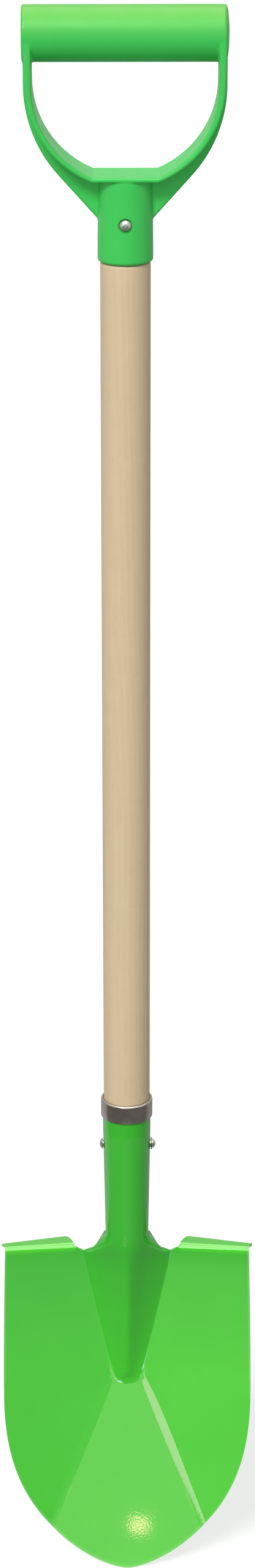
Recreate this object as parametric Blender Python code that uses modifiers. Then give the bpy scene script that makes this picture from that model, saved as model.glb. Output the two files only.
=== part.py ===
# Pointed shovel with a pressed steel blade, a wooden shaft and a moulded D grip.
# Metres, +Z up. The shaft's centre line is the Z axis, Z = 0 is the height of the
# blade's tip, and the blade's dished front faces -Y. Every size is set below once.
import math

import bmesh
import bpy
from mathutils import Vector

OBJECT_NAME = "pointed_shovel"

# Clearances between pieces that touch.
FIT_GAP = 0.0003
TENON_GAP = 0.0004

# Blade outline. Widths are measured from the centre line to the side.
SHEET = 0.0014
BLADE_HEIGHT = 0.1926
BLADE_HALF_BELLY = 0.0680
BLADE_HALF_TOP = 0.0665
BELLY_HEIGHT = 0.1103
POINT_SIDE_POWER = 2.46
POINT_TIP_POWER = 1.54

# Blade dish: two flat side panels, and a lower panel that turns up to the tip.
PANEL_SET_BACK = 0.0089
PANEL_DISH = 0.12
PANEL_LIFT = 0.06
TIP_LIFT = 0.1033

# Frog: the raised ridge that runs from the socket down into the blade.
FROG_NOSE_HEIGHT = 0.1200
FROG_NOSE_HALF = 0.0085
FROG_NOSE_LENGTH = 0.0083
FROG_NOSE_RISE = 0.0029
FROG_ROUNDNESS = 0.35
FROG_LINE_POWER = 1.35
CREASE_FOOT_HALF = 0.0400
DISH_SOFTNESS = 0.0060

# Notches beside the neck, and the treads that are bent back at the top edge.
NOTCH_HALF = 0.0240
NOTCH_SHOULDER = 0.0054
TREAD_BEND = 0.0030
TREAD_FLAT = 0.0062
TREAD_FLAT_SIDE = 0.0024
TREAD_SLANT = 0.0027
TREAD_FLARE = 0.0019

# Rolled socket. Radii are those of its outside.
NECK_LENGTH = 0.0390
NECK_FLARE = 0.0135
NECK_RIM_SHARE = 0.80
NECK_RIM_QUICK = 0.46
NECK_RIM_LATE = 0.76
NECK_MELT = 0.0150
NECK_WRAP = math.radians(100.0)
SOCKET_NECK_HEIGHT = 0.0219
SOCKET_NECK_RADIUS = 0.0117
SOCKET_LENGTH = 0.0924
SOCKET_STRAIGHT = 0.0135
SOCKET_MOUTH_RADIUS = 0.01275
SEAM_WIDTH = 0.0015

# Ferrule ring.
FERRULE_WALL = 0.0007
FERRULE_HEIGHT = 0.0104
FERRULE_OVERHANG = 0.0035
FERRULE_EDGE_RADIUS = 0.0011

# Wooden shaft.
SHAFT_TOP_RADIUS = 0.0125
SHAFT_FOOT_RADIUS = 0.0123
SHAFT_SHOWN_LENGTH = 0.4588
SHAFT_SHOULDER_ROUND = 0.0015
SHAFT_TENON_CHAMFER = 0.0012
FOOT_TENON_LENGTH = 0.0560

# D grip moulding.
GRIP_MOUTH_RADIUS = 0.01375
GRIP_NECK_RADIUS = 0.01345
GRIP_RIM_ROUND = 0.0012
GRIP_SADDLE_HEIGHT = 0.0433
GRIP_BORE_RADIUS = 0.0108
GRIP_BORE_DEPTH = 0.0380
BAR_HEIGHT = 0.1113
BAR_RADIUS = 0.01375
BAR_HALF = 0.0500
BAR_PLUG_SETBACK = 0.00075
BAR_EDGE_RADIUS = 0.0006
BAR_PLUG_EDGE_RADIUS = 0.0013
BAR_BORE_RADIUS = 0.0107
BAR_BORE_END_WALL = 0.0040
STRAP_HALF_DEPTH = 0.0136
STRAP_ARM_THICKNESS = 0.0039
STRAP_SADDLE_THICKNESS = 0.0024
STRAP_EDGE_RADIUS = 0.0008
OPENING_HALF = 0.0453
OPENING_BEND = 0.0481
OPENING_BEND_ANGLE = math.radians(63.5)
SADDLE_HALF = 0.0160
WEB_THICKNESS = 0.0040
WEB_PROUD = 0.00035
WEB_BEND = 0.0659
WEB_SLOPE = math.radians(48.2)
WEB_FOOT_HEIGHT = 0.0197

# Plug in the open end of the grip's bar.
PLUG_RADIUS = 0.0122
PLUG_SEAT_DEPTH = 0.0005
PLUG_RIM = 0.0004
PLUG_DOME = 0.0009
PLUG_SPIGOT_LENGTH = 0.0070

# Grip screw.
SCREW_HEIGHT = 0.0199
SCREW_HEAD_RADIUS = 0.0031
SCREW_HEAD_HEIGHT = 0.0021
SCREW_SHANK_RADIUS = 0.0015
SCREW_LENGTH = 0.0150
SCREW_SEAT_RADIUS = 0.0037
SCREW_SEAT_DEPTH = 0.0010
SCREW_SLOT_WIDTH = 0.0009
SCREW_SLOT_LENGTH = 0.0034
SCREW_SLOT_DEPTH = 0.0010

# Socket rivet and its washer.
RIVET_BELOW_MOUTH = 0.0245
RIVET_SHANK_RADIUS = 0.0020
RIVET_HEAD_RADIUS = 0.0031
RIVET_HEAD_HEIGHT = 0.0018
RIVET_SET_RADIUS = 0.0027
RIVET_SET_HEIGHT = 0.0017
WASHER_RADIUS = 0.0033
WASHER_THICKNESS = 0.0006

# Mesh counts.
FROG_COLUMNS = 7
PANEL_COLUMNS = 7
LOWER_ROWS = 11
UPPER_ROWS = 13
NECK_ROWS = 12
TUBE_ROWS = 4
TREAD_BEND_ROWS = 3
ROUND_STEPS = 32
BORE_STEPS = 38
SMALL_STEPS = 20
ARC_STEPS = 9

# Heights that follow from the sizes above.
SOCKET_MOUTH = BLADE_HEIGHT + SOCKET_LENGTH
NECK_LEVEL = BLADE_HEIGHT + SOCKET_NECK_HEIGHT
SHAFT_FOOT_SHOULDER = SOCKET_MOUTH + FIT_GAP
GRIP_MOUTH = SHAFT_FOOT_SHOULDER + SHAFT_SHOWN_LENGTH + FIT_GAP
GRIP_SADDLE = GRIP_MOUTH + GRIP_SADDLE_HEIGHT
GRIP_BAR = GRIP_MOUTH + BAR_HEIGHT
RIVET_LEVEL = SOCKET_MOUTH - RIVET_BELOW_MOUTH
SCREW_LEVEL = GRIP_MOUTH + SCREW_HEIGHT


def clear_scene():
    for item in list(bpy.data.objects):
        bpy.data.objects.remove(item, do_unlink=True)


def make_collection(name):
    group = bpy.data.collections.new(name)
    bpy.context.scene.collection.children.link(group)
    return group


def make_material(name, colour, roughness, metallic):
    material = bpy.data.materials.new(name)
    material.use_nodes = True
    shader = material.node_tree.nodes["Principled BSDF"]
    shader.inputs["Base Color"].default_value = (*colour, 1.0)
    shader.inputs["Roughness"].default_value = roughness
    shader.inputs["Metallic"].default_value = metallic
    material.diffuse_color = (*colour, 1.0)
    return material


def add_object(name, mesh, group, material=None):
    item = bpy.data.objects.new(name, mesh)
    group.objects.link(item)
    if material is not None:
        mesh.materials.append(material)
    return item


def mark_cutter(item):
    item.hide_render = True
    item.display_type = "WIRE"
    return item


def smooth_round(item, angle=math.radians(35.0)):
    item.data.shade_smooth()
    item.data.set_sharp_from_angle(angle=angle)


def boolean(item, other, operation):
    modifier = item.modifiers.new(operation.title() + " " + other.name, "BOOLEAN")
    modifier.operation = operation
    modifier.object = other
    modifier.solver = "EXACT"


def turned(name, profile, group, material=None, steps=ROUND_STEPS, closed=False):
    """Turn (radius, height) points about Z. The outer side runs from top to bottom."""
    mesh = bpy.data.meshes.new(name)
    points = [(radius, 0.0, height) for radius, height in profile]
    edges = [(i, i + 1) for i in range(len(points) - 1)]
    if closed:
        edges.append((len(points) - 1, 0))
    mesh.from_pydata(points, edges, [])
    item = add_object(name, mesh, group, material)
    screw = item.modifiers.new("Turn", "SCREW")
    screw.axis = "Z"
    screw.steps = steps
    screw.render_steps = steps
    screw.use_merge_vertices = True
    screw.merge_threshold = 0.00001
    screw.use_smooth_shade = True
    return item


def quarter_round(centre, radius, start, end, steps):
    """Points on an arc about centre, angles in radians from the +radius direction."""
    points = []
    for i in range(steps + 1):
        angle = start + (end - start) * i / steps
        points.append((centre[0] + radius * math.cos(angle), centre[1] + radius * math.sin(angle)))
    return points


def flat_plate(name, outline, thickness, group, edge=0.0):
    """A plate in the XZ plane from a closed (x, z) outline, centred on Y = 0."""
    curve = bpy.data.curves.new(name + "_outline", "CURVE")
    curve.dimensions = "2D"
    curve.fill_mode = "BOTH"
    curve.extrude = thickness / 2
    spline = curve.splines.new("POLY")
    spline.points.add(len(outline) - 1)
    for point, (x, z) in zip(spline.points, outline):
        point.co = (x, z, 0.0, 1.0)
    spline.use_cyclic_u = True
    drawing = bpy.data.objects.new(name + "_outline", curve)
    group.objects.link(drawing)
    drawing.rotation_euler = (math.pi / 2, 0.0, 0.0)
    bpy.context.view_layer.update()
    mesh = bpy.data.meshes.new_from_object(drawing.evaluated_get(bpy.context.evaluated_depsgraph_get()))
    shape = bmesh.new()
    shape.from_mesh(mesh)
    bmesh.ops.remove_doubles(shape, verts=shape.verts, dist=0.000001)
    bmesh.ops.dissolve_limit(shape, angle_limit=0.001, verts=shape.verts, edges=shape.edges)
    shape.to_mesh(mesh)
    shape.free()
    item = add_object(name, mesh, group)
    item.matrix_world = drawing.matrix_world.copy()
    bpy.data.objects.remove(drawing, do_unlink=True)
    if edge > 0.0:
        bevel = item.modifiers.new("Soft edge", "BEVEL")
        bevel.width = edge
        bevel.segments = 2
        bevel.limit_method = "ANGLE"
        bevel.angle_limit = math.radians(50.0)
    return item


def rod_cutter(name, radius, start, end, group, steps=SMALL_STEPS):
    """A cylinder between two points, for a bore."""
    mesh = bpy.data.meshes.new(name)
    shape = bmesh.new()
    start = Vector(start)
    end = Vector(end)
    bmesh.ops.create_cone(shape, cap_ends=True, segments=steps, radius1=radius, radius2=radius,
                          depth=(end - start).length)
    shape.to_mesh(mesh)
    shape.free()
    item = add_object(name, mesh, group)
    item.location = (start + end) / 2
    item.rotation_euler = (end - start).to_track_quat("Z", "Y").to_euler()
    return mark_cutter(item)


def lerp(a, b, t):
    return a + (b - a) * t


def smooth_step(t):
    return t * t * (3.0 - 2.0 * t)


# Blade sheet, as a function of the place on its front view.

def side_half_width(z):
    """Distance from the centre line to the blade's side above the belly."""
    t = max(0.0, (z - BELLY_HEIGHT) / (BLADE_HEIGHT - BELLY_HEIGHT))
    return lerp(BLADE_HALF_BELLY, BLADE_HALF_TOP, t ** 1.5)


def outline_foot(x):
    """Height of the pointed lower edge at a distance x from the centre line."""
    share = min(1.0, x / BLADE_HALF_BELLY)
    return BELLY_HEIGHT * (1.0 - (1.0 - share ** POINT_TIP_POWER) ** (1.0 / POINT_SIDE_POWER))


def panel_y(x, z):
    soft_x = math.sqrt(x * x + DISH_SOFTNESS * DISH_SOFTNESS)
    return PANEL_SET_BACK - PANEL_DISH * soft_x - PANEL_LIFT * (BLADE_HEIGHT - z)


def crease_level():
    """Height where the creases of the lower panel start at the frog's nose."""
    return FROG_NOSE_HEIGHT - FROG_NOSE_LENGTH / 2


def dish_y(x, z):
    """The pan without the frog: the panels, or the lower panel where it lies in front."""
    lower = panel_y(FROG_NOSE_HALF, crease_level()) - TIP_LIFT * (crease_level() - z)
    return min(panel_y(x, z), lower)


def frog_half_width(z):
    t = (z - FROG_NOSE_HEIGHT) / (BLADE_HEIGHT - FROG_NOSE_HEIGHT)
    return lerp(FROG_NOSE_HALF, NOTCH_HALF, t)


def socket_radius(z):
    """Outside radius of the rolled socket."""
    taper_end = SOCKET_MOUTH - SOCKET_STRAIGHT
    t = (z - NECK_LEVEL) / (taper_end - NECK_LEVEL)
    return lerp(SOCKET_NECK_RADIUS, SOCKET_MOUTH_RADIUS, min(1.0, t))


def frog_line_y(z):
    """The ridge's front line, from the nose up to the socket's front."""
    front = SHEET / 2 - socket_radius(NECK_LEVEL)
    nose = dish_y(0.0, FROG_NOSE_HEIGHT) - FROG_NOSE_RISE
    t = (NECK_LEVEL - z) / (NECK_LEVEL - FROG_NOSE_HEIGHT)
    return front + (nose - front) * max(0.0, t) ** FROG_LINE_POWER


def frog_profile(share):
    """Height of the frog's section, 1 on the ridge and 0 at the crease."""
    if share >= 1.0:
        return 0.0
    q = FROG_ROUNDNESS
    return 1.0 - (math.hypot(share, q) - q) / (math.hypot(1.0, q) - q)


def blade_y(x, z):
    ground = dish_y(x, z)
    if z >= FROG_NOSE_HEIGHT:
        rise = dish_y(0.0, z) - frog_line_y(z)
        return ground - rise * frog_profile(abs(x) / frog_half_width(z))
    share = math.hypot(x / FROG_NOSE_HALF, (FROG_NOSE_HEIGHT - z) / FROG_NOSE_LENGTH)
    return ground - FROG_NOSE_RISE * frog_profile(share)


def blade_column(share):
    """Places up one column of the blade. share runs from 0 at the middle, over 1 at
    the creases, to 2 at the side."""
    if share <= 1.0:
        foot_x = CREASE_FOOT_HALF * share
    else:
        foot_x = lerp(CREASE_FOOT_HALF, BLADE_HALF_BELLY, math.sin((share - 1.0) * math.pi / 2))

    def across(z):
        inner = frog_half_width(z)
        if share <= 1.0:
            return inner * share
        return lerp(inner, side_half_width(z), share - 1.0)

    foot_z = outline_foot(foot_x)
    nose_x = across(FROG_NOSE_HEIGHT)
    points = []
    for i in range(LOWER_ROWS):
        t = 1.0 - (1.0 - i / LOWER_ROWS) ** 2
        points.append((lerp(foot_x, nose_x, t), lerp(foot_z, FROG_NOSE_HEIGHT, t)))
    for i in range(UPPER_ROWS + 1):
        z = lerp(FROG_NOSE_HEIGHT, BLADE_HEIGHT, i / UPPER_ROWS)
        points.append((across(z), z))
    return [(x, blade_y(x, z), z) for x, z in points]


def neck_closing(rise, share):
    """How far the sheet has closed from the frog to the round socket, 0 to 1."""
    melt = min(1.0, rise / NECK_MELT)
    flare = min(1.0, rise / NECK_FLARE)
    inside = smooth_step(melt)
    quick = 1.0 - (1.0 - min(1.0, flare / NECK_RIM_QUICK)) ** 2
    late = smooth_step(max(0.0, (flare - NECK_RIM_LATE) / (1.0 - NECK_RIM_LATE)))
    edge = lerp(late, quick, NECK_RIM_SHARE)
    return lerp(inside, edge, share ** 6)


def neck_column(share):
    """Places up one column of the neck and the socket, share 0 in front to 1 at the seam."""
    points = []
    for i in range(1, NECK_ROWS + TUBE_ROWS + 1):
        if i <= NECK_ROWS:
            t = (i / NECK_ROWS) ** 2
            z = BLADE_HEIGHT + NECK_LENGTH * t
        else:
            t = 1.0
            z = lerp(BLADE_HEIGHT + NECK_LENGTH, SOCKET_MOUTH, (i - NECK_ROWS) / TUBE_ROWS)
        radius = socket_radius(z) - SHEET / 2
        angle = share * lerp(NECK_WRAP, math.pi - SEAM_WIDTH / 2 / radius, t)
        rolled = (radius * math.sin(angle), -radius * math.cos(angle))
        open_x = share * frog_half_width(min(z, NECK_LEVEL))
        open_y = blade_y(open_x, min(z, NECK_LEVEL))
        closing = neck_closing(z - BLADE_HEIGHT, share)
        points.append((lerp(open_x, rolled[0], closing), lerp(open_y, rolled[1], closing), z))
    return points


def tread_column(share):
    """Places over the bend and back along the tread, share 0 at the notch to 1 at the side."""
    places = []
    for i in range(1, TREAD_BEND_ROWS + 1):
        turn = i / TREAD_BEND_ROWS
        angle = turn * math.pi / 2
        inner = NOTCH_HALF + NOTCH_SHOULDER * (1.0 - (1.0 - turn) ** 2)
        back = TREAD_BEND * (1.0 - math.cos(angle))
        places.append((inner, back, TREAD_BEND * math.sin(angle), turn / 3))
    flat = lerp(TREAD_FLAT, TREAD_FLAT_SIDE, share)
    places.append((inner + TREAD_SLANT, TREAD_BEND + flat, TREAD_BEND, 1.0))
    points = []
    for inner, back, up, reach in places:
        outer = BLADE_HALF_TOP + TREAD_FLARE * reach ** 2
        x = lerp(inner, outer, share)
        top_x = lerp(NOTCH_HALF, BLADE_HALF_TOP, share)
        points.append((x, blade_y(top_x, BLADE_HEIGHT) + back, BLADE_HEIGHT + up))
    return points


def fill_strip(shape, left, right):
    """Quads between two columns of vertices that run upwards, facing -Y."""
    for i in range(len(left) - 1):
        shape.faces.new((left[i], right[i], right[i + 1], left[i + 1]))


def make_blade(group, cutters):
    count = FROG_COLUMNS + PANEL_COLUMNS
    shape = bmesh.new()
    blade = {}
    for j in range(-count, count + 1):
        step = abs(j)
        share = min(1.0, step / FROG_COLUMNS) + max(0, step - FROG_COLUMNS) / PANEL_COLUMNS
        side = -1.0 if j < 0 else 1.0
        blade[j] = [shape.verts.new((side * x, y, z)) for x, y, z in blade_column(share)]
    for j in range(-count, count):
        fill_strip(shape, blade[j], blade[j + 1])
    neck = {}
    for j in range(-FROG_COLUMNS, FROG_COLUMNS + 1):
        side = -1.0 if j < 0 else 1.0
        column = neck_column(abs(j) / FROG_COLUMNS)
        neck[j] = [blade[j][-1]] + [shape.verts.new((side * x, y, z)) for x, y, z in column]
    for j in range(-FROG_COLUMNS, FROG_COLUMNS):
        fill_strip(shape, neck[j], neck[j + 1])
    for side in (-1, 1):
        tread = []
        for step in range(PANEL_COLUMNS + 1):
            top = blade[side * (FROG_COLUMNS + step)][-1]
            column = tread_column(step / PANEL_COLUMNS)
            tread.append([top] + [shape.verts.new((side * x, y, z)) for x, y, z in column])
        if side < 0:
            tread.reverse()
        for left, right in zip(tread, tread[1:]):
            fill_strip(shape, left, right)
    mesh = bpy.data.meshes.new("blade")
    shape.to_mesh(mesh)
    shape.free()
    paint = make_material("blade_paint", (0.105, 0.560, 0.065), 0.22, 0.0)
    item = add_object("blade", mesh, group, paint)
    smooth_round(item)
    solid = item.modifiers.new("Sheet", "SOLIDIFY")
    solid.thickness = SHEET
    solid.offset = 0.0
    solid.use_even_offset = True
    reach = SOCKET_MOUTH_RADIUS + SHEET
    hole = rod_cutter("rivet_hole_in_socket", RIVET_SHANK_RADIUS + FIT_GAP,
                      (-reach, 0.0, RIVET_LEVEL), (reach, 0.0, RIVET_LEVEL), cutters)
    boolean(item, hole, "DIFFERENCE")
    return item


def make_ferrule(group):
    steel = make_material("ferrule_steel", (0.300, 0.270, 0.240), 0.28, 1.0)
    top = SOCKET_MOUTH + FERRULE_OVERHANG
    bottom = top - FERRULE_HEIGHT
    inner = SOCKET_MOUTH_RADIUS + FIT_GAP
    outer = inner + FERRULE_WALL
    lip = SHAFT_FOOT_RADIUS + FIT_GAP
    roof = SOCKET_MOUTH + FIT_GAP * 2
    profile = [(lip, top)]
    edge = (outer - FERRULE_EDGE_RADIUS, top - FERRULE_EDGE_RADIUS)
    profile += quarter_round(edge, FERRULE_EDGE_RADIUS, math.pi / 2, 0.0, 4)
    profile += [(outer, bottom + FERRULE_WALL / 2), (outer - FERRULE_WALL / 2, bottom), (inner, bottom)]
    profile += [(inner, roof), (lip, roof + FERRULE_WALL)]
    return turned("socket_ferrule", profile, group, steel, closed=True)


def make_shaft(group, cutters):
    wood = make_material("shaft_wood", (0.640, 0.510, 0.330), 0.62, 0.0)
    tenon_top = GRIP_MOUTH + GRIP_BORE_DEPTH - FIT_GAP
    tenon_radius = GRIP_BORE_RADIUS - TENON_GAP
    shoulder = GRIP_MOUTH - FIT_GAP
    foot = SHAFT_FOOT_SHOULDER - FOOT_TENON_LENGTH
    mouth_radius = SOCKET_MOUTH_RADIUS - SHEET - TENON_GAP
    taper_end = SOCKET_MOUTH - SOCKET_STRAIGHT
    foot_radius = socket_radius(foot) - SHEET - TENON_GAP
    profile = [(0.0, tenon_top), (tenon_radius - SHAFT_TENON_CHAMFER, tenon_top),
               (tenon_radius, tenon_top - SHAFT_TENON_CHAMFER), (tenon_radius, shoulder)]
    centre = (SHAFT_TOP_RADIUS - SHAFT_SHOULDER_ROUND, shoulder - SHAFT_SHOULDER_ROUND)
    profile += quarter_round(centre, SHAFT_SHOULDER_ROUND, math.pi / 2, 0.0, 4)
    profile += [(SHAFT_FOOT_RADIUS, SHAFT_FOOT_SHOULDER), (mouth_radius, SHAFT_FOOT_SHOULDER),
                (mouth_radius, taper_end), (foot_radius, foot + SHAFT_TENON_CHAMFER),
                (foot_radius - SHAFT_TENON_CHAMFER, foot), (0.0, foot)]
    item = turned("handle_shaft", profile, group, wood)
    reach = SOCKET_MOUTH_RADIUS
    rivet_hole = rod_cutter("rivet_hole_in_shaft", RIVET_SHANK_RADIUS + FIT_GAP,
                            (-reach, 0.0, RIVET_LEVEL), (reach, 0.0, RIVET_LEVEL), cutters)
    boolean(item, rivet_hole, "DIFFERENCE")
    screw_hole = rod_cutter("screw_hole_in_shaft", SCREW_SHANK_RADIUS + FIT_GAP,
                            (0.0, -SHAFT_TOP_RADIUS, SCREW_LEVEL),
                            (0.0, screw_tip_y() + FIT_GAP, SCREW_LEVEL),
                            cutters)
    boolean(item, screw_hole, "DIFFERENCE")
    return item


def opening_path():
    """Right half of the hand opening, (x, z) from the bar down to the saddle's corner."""
    bend = OPENING_BEND_ANGLE
    bend_end_x = OPENING_HALF - OPENING_BEND * (1.0 - math.cos(bend))
    line_rise = (bend_end_x - SADDLE_HALF) / math.tan(bend)
    bend_top = GRIP_SADDLE + line_rise + OPENING_BEND * math.sin(bend)
    path = [(OPENING_HALF, GRIP_BAR)]
    path += quarter_round((OPENING_HALF - OPENING_BEND, bend_top), OPENING_BEND, 0.0, -bend, ARC_STEPS)
    path.append((SADDLE_HALF, GRIP_SADDLE))
    return path


def offset_path(path, share):
    """The opening's path moved out into the strap, by a share of the strap's thickness."""
    result = []
    last = len(path) - 1
    for i, point in enumerate(path):
        before = Vector(path[max(i - 1, 0)])
        after = Vector(path[min(i + 1, last)]) if i < last else Vector((0.0, GRIP_SADDLE))
        here = Vector(point)
        first = (here - before).normalized() if i > 0 else Vector((0.0, -1.0))
        second = (after - here).normalized()
        outward = Vector((-(first + second).y, (first + second).x)).normalized()
        spread = outward.dot(Vector((-second.y, second.x)))
        along = (GRIP_BAR - point[1]) / (GRIP_BAR - GRIP_SADDLE)
        thickness = lerp(STRAP_ARM_THICKNESS, STRAP_SADDLE_THICKNESS, along) * share / spread
        result.append(tuple(here + outward * thickness))
    return result


def web_path():
    """Right half of the web's outer edge, (x, z) from the bar down to the socket."""
    outer = OPENING_HALF + STRAP_ARM_THICKNESS + WEB_PROUD
    turn = math.pi / 2 - WEB_SLOPE
    foot_x = GRIP_NECK_RADIUS - WEB_THICKNESS / 4
    foot_z = GRIP_MOUTH + WEB_FOOT_HEIGHT
    bend_end_x = outer - WEB_BEND * (1.0 - math.cos(turn))
    bend_end_z = foot_z + (bend_end_x - foot_x) * math.tan(WEB_SLOPE)
    centre = (outer - WEB_BEND, bend_end_z + WEB_BEND * math.sin(turn))
    path = [(outer, GRIP_BAR)]
    path += quarter_round(centre, WEB_BEND, 0.0, -turn, ARC_STEPS)
    path.append((foot_x, foot_z))
    return path


def mirrored(path):
    return [(-x, z) for x, z in reversed(path)]


def make_d_handle(group, cutters):
    plastic = make_material("grip_plastic", (0.090, 0.560, 0.110), 0.38, 0.0)
    under_saddle = GRIP_SADDLE - STRAP_SADDLE_THICKNESS
    centre = (GRIP_MOUTH_RADIUS - GRIP_RIM_ROUND, GRIP_MOUTH + GRIP_RIM_ROUND)
    socket = [(0.0, under_saddle + STRAP_SADDLE_THICKNESS / 2),
              (GRIP_NECK_RADIUS - STRAP_SADDLE_THICKNESS / 2, under_saddle + STRAP_SADDLE_THICKNESS / 2),
              (GRIP_NECK_RADIUS, under_saddle - STRAP_SADDLE_THICKNESS / 4)]
    socket += quarter_round(centre, GRIP_RIM_ROUND, 0.0, -math.pi / 2, 3)
    socket.append((0.0, GRIP_MOUTH))
    item = turned("d_handle", socket, group, plastic, steps=40)

    opening = opening_path()
    outer = offset_path(opening, 1.0)
    strap_outline = opening + mirrored(opening) + mirrored(outer)[::-1] + outer[::-1]
    strap = flat_plate("strap", strap_outline, STRAP_HALF_DEPTH * 2, cutters, edge=STRAP_EDGE_RADIUS)
    web_edge = web_path()
    middle = offset_path(opening, 0.5)
    web_outline = web_edge + mirrored(web_edge) + mirrored(middle)[::-1] + middle[::-1]
    web = flat_plate("web", web_outline, WEB_THICKNESS, cutters)

    bar_end = BAR_HALF - BAR_PLUG_SETBACK
    bar_profile = [(0.0, bar_end)]
    plug_edge = (BAR_RADIUS - BAR_PLUG_EDGE_RADIUS, bar_end - BAR_PLUG_EDGE_RADIUS)
    bar_profile += quarter_round(plug_edge, BAR_PLUG_EDGE_RADIUS, math.pi / 2, 0.0, 4)
    bar_profile += [(BAR_RADIUS, BAR_EDGE_RADIUS - BAR_HALF),
                    (BAR_RADIUS - BAR_EDGE_RADIUS, -BAR_HALF), (0.0, -BAR_HALF)]
    bar = turned("bar", bar_profile, cutters, steps=40)
    bar.location = (0.0, 0.0, GRIP_BAR)
    bar.rotation_euler = (0.0, math.pi / 2, 0.0)
    for piece in (strap, web, bar):
        mark_cutter(piece)
        boolean(item, piece, "UNION")

    bore = rod_cutter("shaft_bore", GRIP_BORE_RADIUS, (0.0, 0.0, GRIP_MOUTH - GRIP_BORE_DEPTH),
                      (0.0, 0.0, GRIP_MOUTH + GRIP_BORE_DEPTH), cutters, steps=BORE_STEPS)
    bar_bore = rod_cutter("bar_bore", BAR_BORE_RADIUS, (BAR_BORE_END_WALL - BAR_HALF, 0.0, GRIP_BAR),
                          (BAR_HALF + BAR_RADIUS, 0.0, GRIP_BAR), cutters)
    plug_seat = rod_cutter("plug_seat", PLUG_RADIUS + FIT_GAP, (bar_end - PLUG_SEAT_DEPTH, 0.0, GRIP_BAR),
                           (BAR_HALF + BAR_RADIUS, 0.0, GRIP_BAR), cutters, steps=40)
    screw_seat = rod_cutter("screw_seat", SCREW_SEAT_RADIUS,
                            (0.0, -GRIP_MOUTH_RADIUS - SCREW_HEAD_HEIGHT, SCREW_LEVEL),
                            (0.0, SCREW_SEAT_DEPTH - GRIP_NECK_RADIUS, SCREW_LEVEL), cutters)
    screw_hole = rod_cutter("screw_hole_in_grip", SCREW_SHANK_RADIUS + FIT_GAP,
                            (0.0, -GRIP_MOUTH_RADIUS, SCREW_LEVEL), (0.0, 0.0, SCREW_LEVEL), cutters)
    for cutter in (bore, bar_bore, plug_seat, screw_seat, screw_hole):
        boolean(item, cutter, "DIFFERENCE")
    return item


def make_plug(group):
    plastic = make_material("plug_plastic", (0.090, 0.560, 0.110), 0.38, 0.0)
    seat = FIT_GAP
    spigot = BAR_BORE_RADIUS - FIT_GAP
    dome = [(0.0, seat + PLUG_RIM + PLUG_DOME)]
    for i in range(1, 6):
        radius = PLUG_RADIUS * i / 5
        dome.append((radius, seat + PLUG_RIM + PLUG_DOME * (1.0 - (radius / PLUG_RADIUS) ** 2)))
    profile = dome + [(PLUG_RADIUS, seat), (spigot, seat), (spigot, seat - PLUG_SPIGOT_LENGTH),
                      (0.0, seat - PLUG_SPIGOT_LENGTH)]
    item = turned("grip_end_plug", profile, group, plastic)
    item.location = (BAR_HALF - BAR_PLUG_SETBACK - PLUG_SEAT_DEPTH, 0.0, GRIP_BAR)
    item.rotation_euler = (0.0, math.pi / 2, 0.0)
    return item


def screw_seat_y():
    """Y of the underside of the grip screw's head."""
    return SCREW_SEAT_DEPTH - GRIP_NECK_RADIUS - FIT_GAP


def screw_tip_y():
    return screw_seat_y() + SCREW_LENGTH


def dome_profile(radius, height, base):
    """A low round head, (radius, height) points from its crown down to its rim."""
    ball = (radius * radius + height * height) / (2.0 * height)
    points = []
    for i in range(6):
        r = radius * i / 5
        points.append((r, base + height - ball + math.sqrt(ball * ball - r * r)))
    return points


def make_grip_screw(group, cutters):
    steel = make_material("screw_steel", (0.620, 0.610, 0.590), 0.30, 1.0)
    shank = SCREW_SHANK_RADIUS
    profile = dome_profile(SCREW_HEAD_RADIUS, SCREW_HEAD_HEIGHT, 0.0)
    profile += [(shank, 0.0), (shank, shank * 2 - SCREW_LENGTH), (0.0, -SCREW_LENGTH)]
    item = turned("grip_screw", profile, group, steel, steps=SMALL_STEPS)
    item.location = (0.0, screw_seat_y(), SCREW_LEVEL)
    item.rotation_euler = (math.pi / 2, 0.0, 0.0)
    for name, turn in (("slot_a", 0.0), ("slot_b", math.pi / 2)):
        mesh = bpy.data.meshes.new(name)
        shape = bmesh.new()
        bmesh.ops.create_cube(shape, size=1.0)
        size = (SCREW_SLOT_LENGTH, SCREW_SLOT_WIDTH, SCREW_SLOT_DEPTH * 2)
        bmesh.ops.scale(shape, vec=size, verts=shape.verts)
        shape.to_mesh(mesh)
        shape.free()
        slot = mark_cutter(add_object(name, mesh, cutters))
        slot.location = (0.0, screw_seat_y() - SCREW_HEAD_HEIGHT, SCREW_LEVEL)
        slot.rotation_euler = (math.pi / 2, turn, 0.0)
        boolean(item, slot, "DIFFERENCE")
    return item


def make_socket_rivet(group):
    steel = make_material("rivet_steel", (0.600, 0.590, 0.580), 0.30, 1.0)
    seat = socket_radius(RIVET_LEVEL) + FIT_GAP
    set_seat = seat + WASHER_THICKNESS + FIT_GAP
    shank = RIVET_SHANK_RADIUS
    profile = dome_profile(RIVET_HEAD_RADIUS, RIVET_HEAD_HEIGHT, seat)
    profile += [(shank, seat), (shank, -set_seat)]
    set_head = dome_profile(RIVET_SET_RADIUS, RIVET_SET_HEIGHT, set_seat)
    profile += [(radius, -height) for radius, height in reversed(set_head)]
    item = turned("socket_rivet", profile, group, steel, steps=SMALL_STEPS)
    item.location = (0.0, 0.0, RIVET_LEVEL)
    item.rotation_euler = (0.0, -math.pi / 2, 0.0)
    return item


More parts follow.
